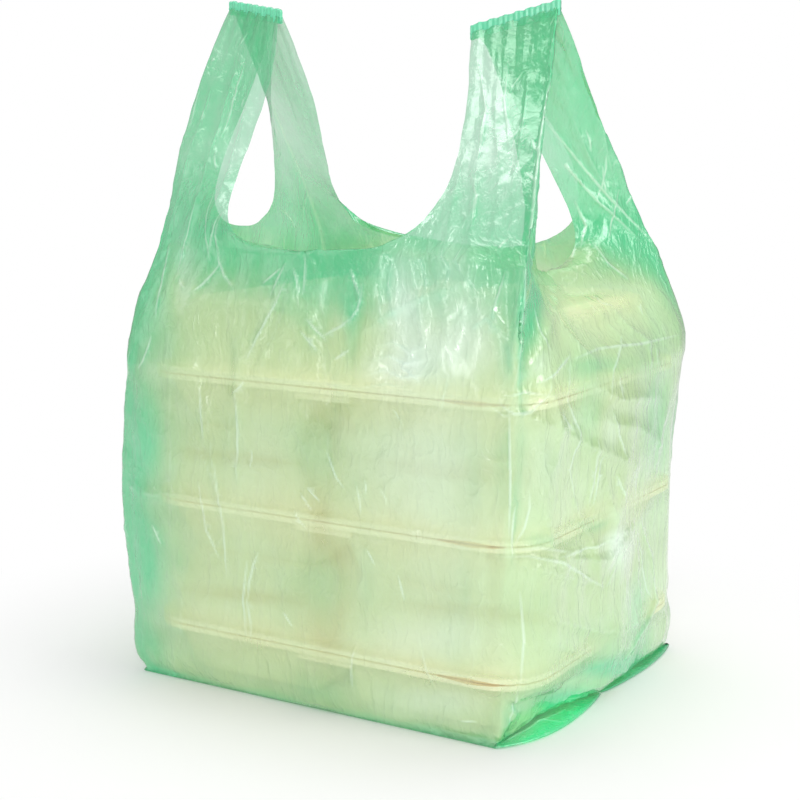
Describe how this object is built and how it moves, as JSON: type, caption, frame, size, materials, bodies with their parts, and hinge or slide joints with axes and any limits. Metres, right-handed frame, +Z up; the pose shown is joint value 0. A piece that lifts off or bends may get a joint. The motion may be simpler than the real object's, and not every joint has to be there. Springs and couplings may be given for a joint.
{
  "type": "plastic carrier bag",
  "caption": "See-through pale green vest carrier bag standing open around a stack of closed foam meal boxes, with gathered welded handles, U-cut mouth and tucked gussets",
  "frame": {"origin": "On the floor, under the middle of the weld that closes the bag's base", "axes": "+Z up through the mouth, -Y the front with the wide panel that faces the viewer, +X the bag's right with the lower handle"},
  "size_m": [0.2658, 0.2198, 0.3773],
  "materials": {
    "green_film": "thin milky film with a soft sheen, sharp creases and see-through to what touches it",
    "cream_foam": "smooth closed-cell foam sheet, satin"
  },
  "bodies": {
    "root": {"carrier_bag": "green_film", "meal_box_bottom": "cream_foam", "meal_box_middle": "cream_foam", "meal_box_top": "cream_foam"}
  },
  "joints": []
}
